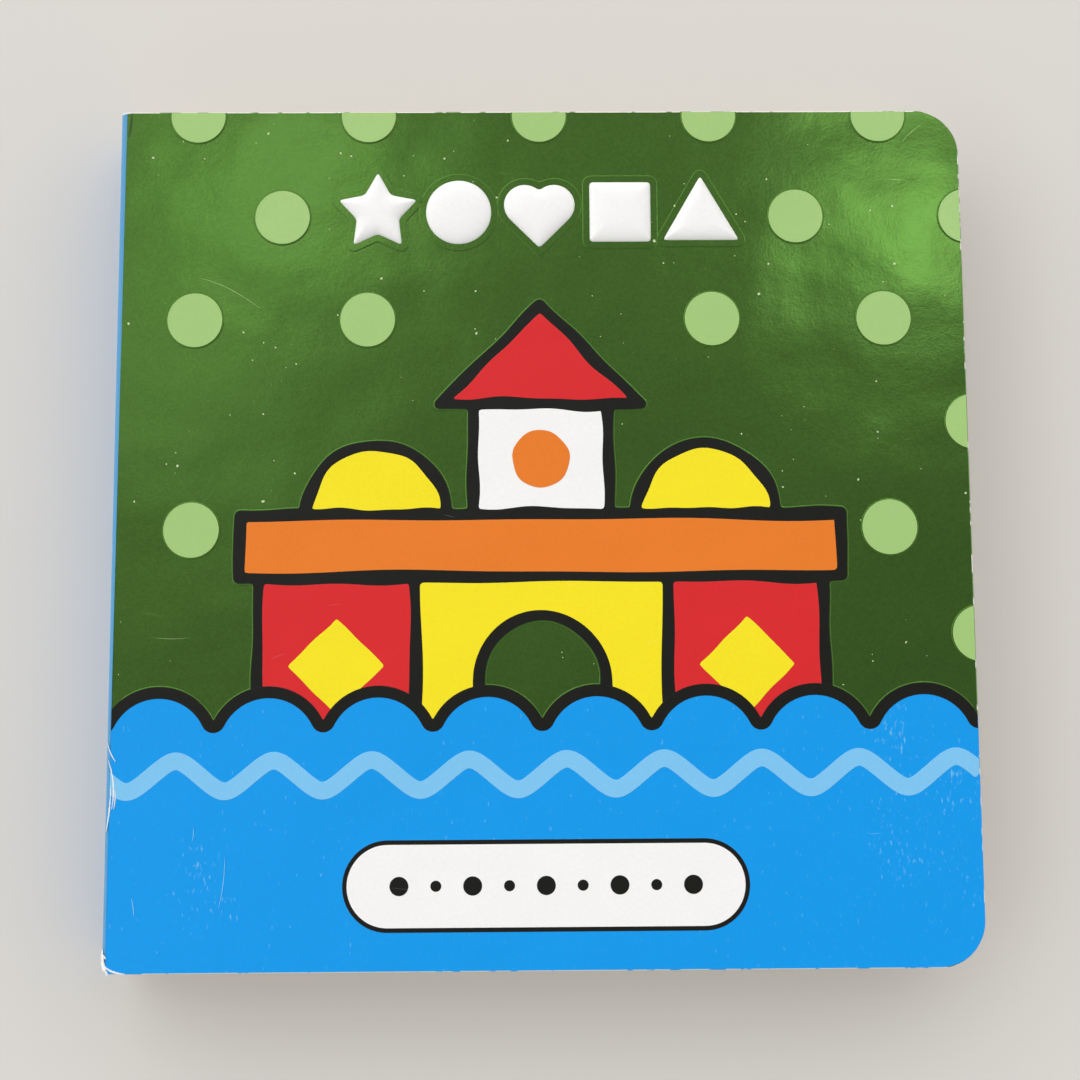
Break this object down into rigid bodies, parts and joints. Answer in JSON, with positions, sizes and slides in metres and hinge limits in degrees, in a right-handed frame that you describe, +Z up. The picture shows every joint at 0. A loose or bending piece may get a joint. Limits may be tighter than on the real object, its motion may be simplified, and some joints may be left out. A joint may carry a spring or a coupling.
{
  "type": "board book",
  "caption": "Square board book of thick card leaves between hinged covers, the front one foil printed and pressed with raised dots, shapes and a pile of toy blocks.",
  "frame": {"origin": "centre of the footprint, on the surface that the book lies on", "axes": "+X from the spine to the fore-edge, +Y from the foot to the head, +Z up from the back cover to the front cover"},
  "size_m": [0.178, 0.178, 0.0191],
  "materials": {
    "foil_print": "gloss",
    "cover_print": "gloss",
    "page_board": "satin"
  },
  "bodies": {
    "block": {"page_block": "page_board", "spine": "cover_print"},
    "front_cover": {"front_cover": "foil_print"},
    "back_cover": {"back_cover": "cover_print"}
  },
  "joints": [
    {"name": "front_cover_hinge", "type": "hinge", "parent": "block", "child": "front_cover", "pos_m": [-0.0874, 0, 0.0168], "axis": [0, -1, 0], "range_deg": [0, 180]},
    {"name": "back_cover_hinge", "type": "hinge", "parent": "block", "child": "back_cover", "pos_m": [-0.0874, 0, 0.001], "axis": [0, 1, 0], "range_deg": [0, 180]}
  ]
}
